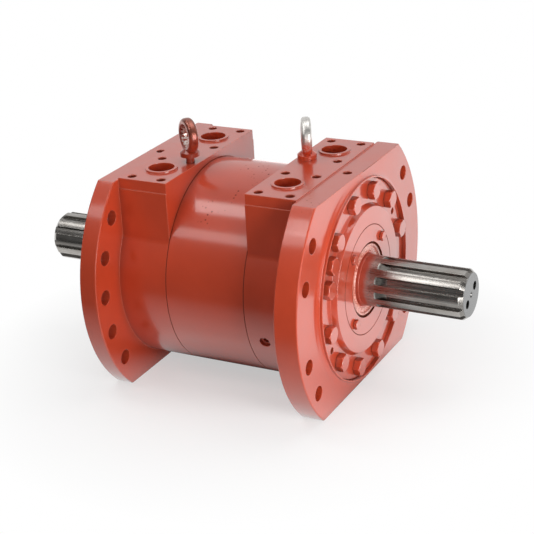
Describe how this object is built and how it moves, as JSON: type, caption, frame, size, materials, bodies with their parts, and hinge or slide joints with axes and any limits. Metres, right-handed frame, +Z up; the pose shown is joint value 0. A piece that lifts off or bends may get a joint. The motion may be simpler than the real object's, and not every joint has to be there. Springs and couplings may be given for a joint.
{
  "type": "hydraulic drive motor",
  "caption": "Low speed hydraulic drive motor with a through shaft splined at both ends, flanged port casings and a round drum between them.",
  "frame": {"origin": "middle of the motor, on the plane that its bottom flats stand on", "axes": "+X along the shaft out of the front end, +Z up through the ports, -Y towards the near long side in the picture"},
  "size_m": [0.872, 0.5498, 0.495],
  "materials": {
    "orange_red_paint": "semi-gloss",
    "machined_steel": "turned",
    "ground_steel": "ground",
    "zinc_plate": "zinc plated",
    "spring_steel": "dark",
    "bronze": "machined",
    "seal_rubber": "matte"
  },
  "bodies": {
    "housing": {"front_casing": "orange_red_paint", "rear_casing": "orange_red_paint", "drum": "orange_red_paint", "cam_ring": "ground_steel", "front_side_plate": "bronze", "rear_side_plate": "bronze", "front_cover": "orange_red_paint", "rear_cover": "orange_red_paint", "front_cover_bolts": "orange_red_paint", "rear_cover_bolts": "orange_red_paint", "front_seal_retainer": "orange_red_paint", "rear_seal_retainer": "orange_red_paint", "front_retainer_screws": "orange_red_paint", "rear_retainer_screws": "orange_red_paint", "front_shaft_seal": "seal_rubber", "rear_shaft_seal": "seal_rubber", "front_seal_spring": "spring_steel", "rear_seal_spring": "spring_steel", "front_casing_seal": "seal_rubber", "rear_casing_seal": "seal_rubber", "front_cover_seal": "seal_rubber", "rear_cover_seal": "seal_rubber", "front_plate_seals": "seal_rubber", "rear_plate_seals": "seal_rubber", "front_bearing_outer": "ground_steel", "rear_bearing_outer": "ground_steel", "dowel_pins": "ground_steel", "locating_pins": "ground_steel", "front_drain_plug": "orange_red_paint", "rear_drain_plug": "orange_red_paint", "front_lifting_eye": "zinc_plate", "rear_lifting_eye": "orange_red_paint"},
    "shaft": {"shaft": "machined_steel", "rotor": "ground_steel", "vane_springs": "spring_steel", "front_spacer": "machined_steel", "rear_spacer": "machined_steel", "front_bearing_inner": "ground_steel", "rear_bearing_inner": "ground_steel", "front_snap_ring": "spring_steel", "rear_snap_ring": "spring_steel"},
    "front_cage": {"front_bearing_cage": "bronze", "front_bearing_rollers": "ground_steel"},
    "rear_cage": {"rear_bearing_cage": "bronze", "rear_bearing_rollers": "ground_steel"},
    "vane_01": {"vane_01": "ground_steel"},
    "vane_02": {"vane_02": "ground_steel"},
    "vane_03": {"vane_03": "ground_steel"},
    "vane_04": {"vane_04": "ground_steel"},
    "vane_05": {"vane_05": "ground_steel"},
    "vane_06": {"vane_06": "ground_steel"},
    "vane_07": {"vane_07": "ground_steel"},
    "vane_08": {"vane_08": "ground_steel"},
    "vane_09": {"vane_09": "ground_steel"},
    "vane_10": {"vane_10": "ground_steel"},
    "vane_11": {"vane_11": "ground_steel"},
    "vane_12": {"vane_12": "ground_steel"}
  },
  "joints": [
    {"name": "shaft_spin", "type": "hinge", "parent": "housing", "child": "shaft", "pos_m": [0, 0, 0.204], "axis": [1, 0, 0], "continuous": true},
    {"name": "front_cage_spin", "type": "hinge", "parent": "housing", "child": "front_cage", "pos_m": [0.169, 0, 0.204], "axis": [1, 0, 0], "continuous": true},
    {"name": "rear_cage_spin", "type": "hinge", "parent": "housing", "child": "rear_cage", "pos_m": [-0.159, 0, 0.204], "axis": [1, 0, 0], "continuous": true},
    {"name": "vane_01_slide", "type": "slide", "parent": "shaft", "child": "vane_01", "axis": [0, 0.9659, 0.2588], "range_m": [0, 0.003]},
    {"name": "vane_02_slide", "type": "slide", "parent": "shaft", "child": "vane_02", "axis": [0, 0.7071, 0.7071], "range_m": [0, 0.012]},
    {"name": "vane_03_slide", "type": "slide", "parent": "shaft", "child": "vane_03", "axis": [0, 0.2588, 0.9659], "range_m": [0, 0.003]},
    {"name": "vane_04_slide", "type": "slide", "parent": "shaft", "child": "vane_04", "axis": [0, -0.2588, 0.9659], "range_m": [0, 0.003]},
    {"name": "vane_05_slide", "type": "slide", "parent": "shaft", "child": "vane_05", "axis": [0, -0.7071, 0.7071], "range_m": [0, 0.012]},
    {"name": "vane_06_slide", "type": "slide", "parent": "shaft", "child": "vane_06", "axis": [0, -0.9659, 0.2588], "range_m": [0, 0.003]},
    {"name": "vane_07_slide", "type": "slide", "parent": "shaft", "child": "vane_07", "axis": [0, -0.9659, -0.2588], "range_m": [0, 0.003]},
    {"name": "vane_08_slide", "type": "slide", "parent": "shaft", "child": "vane_08", "axis": [0, -0.7071, -0.7071], "range_m": [0, 0.012]},
    {"name": "vane_09_slide", "type": "slide", "parent": "shaft", "child": "vane_09", "axis": [0, -0.2588, -0.9659], "range_m": [0, 0.003]},
    {"name": "vane_10_slide", "type": "slide", "parent": "shaft", "child": "vane_10", "axis": [0, 0.2588, -0.9659], "range_m": [0, 0.003]},
    {"name": "vane_11_slide", "type": "slide", "parent": "shaft", "child": "vane_11", "axis": [0, 0.7071, -0.7071], "range_m": [0, 0.012]},
    {"name": "vane_12_slide", "type": "slide", "parent": "shaft", "child": "vane_12", "axis": [0, 0.9659, -0.2588], "range_m": [0, 0.003]}
  ],
  "couplings": [
    {"joint": "front_cage_spin", "follows": "shaft_spin", "ratio": 0.42903},
    {"joint": "rear_cage_spin", "follows": "shaft_spin", "ratio": 0.42903}
  ]
}
